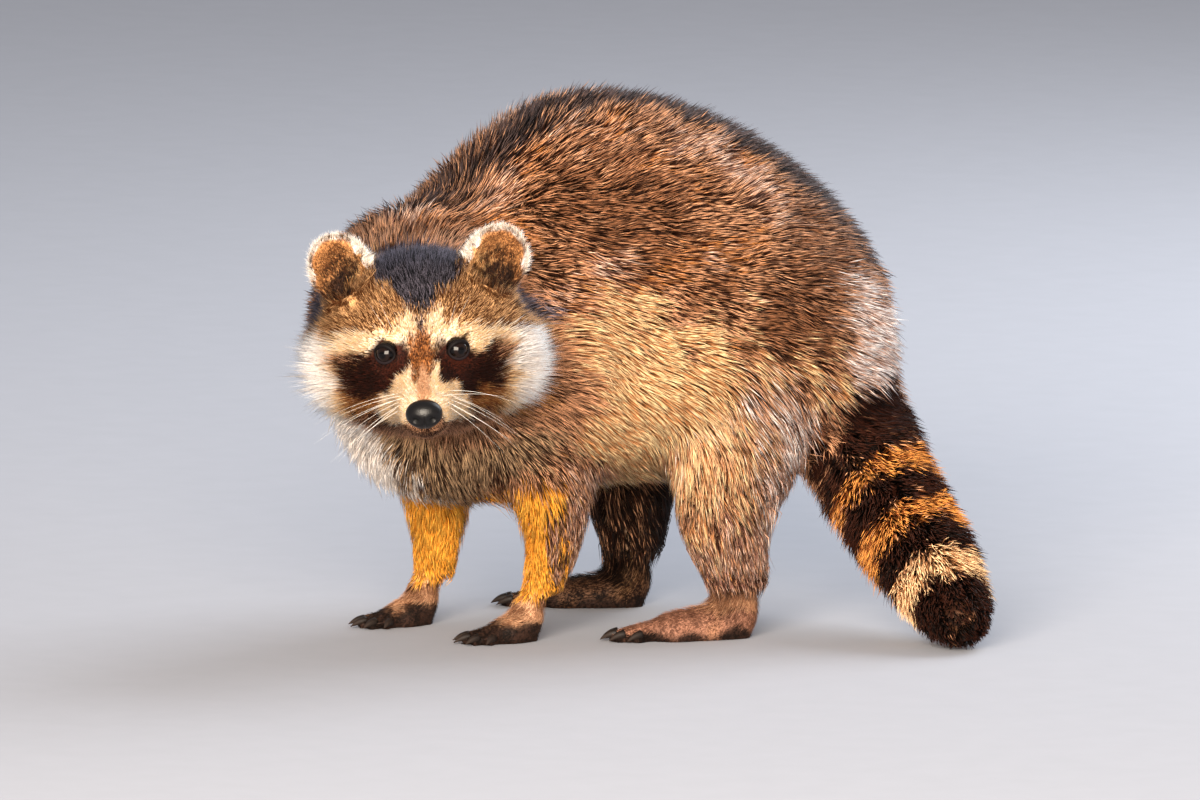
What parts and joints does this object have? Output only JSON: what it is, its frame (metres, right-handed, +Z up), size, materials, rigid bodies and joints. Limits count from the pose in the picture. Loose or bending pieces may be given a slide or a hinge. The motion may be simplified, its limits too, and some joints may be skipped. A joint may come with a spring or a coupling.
{
  "type": "raccoon",
  "caption": "Life-size still raccoon standing hunched on four feet, head turned to its left, ringed tail curled round with the tip on the floor.",
  "frame": {"origin": "middle of the bounding box on the floor", "axes": "+Z up, the body faces -Y with its left side on +X, and the head is turned about 60 degrees towards +X"},
  "size_m": [0.3804, 0.4656, 0.36],
  "materials": {
    "coat": "grizzled guard hair over woolly underfur, banded dark brown and tan",
    "paw": "short flat hair over bare-looking leathery skin",
    "nose": "moist pebbled nose pad",
    "eye": "wet dark brown eyeball",
    "claw": "dark horn"
  },
  "bodies": {
    "root": {"chest": "coat", "claw_forepaw_left_1": "claw", "claw_forepaw_left_2": "claw", "claw_forepaw_left_3": "claw", "claw_forepaw_left_4": "claw", "claw_forepaw_left_5": "claw", "claw_forepaw_right_1": "claw", "claw_forepaw_right_2": "claw", "claw_forepaw_right_3": "claw", "claw_forepaw_right_4": "claw", "claw_forepaw_right_5": "claw", "claw_hindfoot_left_1": "claw", "claw_hindfoot_left_2": "claw", "claw_hindfoot_left_3": "claw", "claw_hindfoot_left_4": "claw", "claw_hindfoot_left_5": "claw", "claw_hindfoot_right_1": "claw", "claw_hindfoot_right_2": "claw", "claw_hindfoot_right_3": "claw", "claw_hindfoot_right_4": "claw", "claw_hindfoot_right_5": "claw", "ear_left": "coat", "ear_right": "coat", "eye_left": "eye", "eye_right": "eye", "foreleg_left": "coat", "foreleg_right": "coat", "forepaw_left": "paw", "forepaw_right": "paw", "head": "coat", "hindfoot_left": "paw", "hindfoot_right": "paw", "hindleg_left": "coat", "hindleg_right": "coat", "muzzle": "coat", "neck": "coat", "nose": "nose", "rump": "coat", "tail_base": "coat", "tail_middle": "coat", "tail_tip": "coat", "trunk": "coat"}
  },
  "joints": []
}
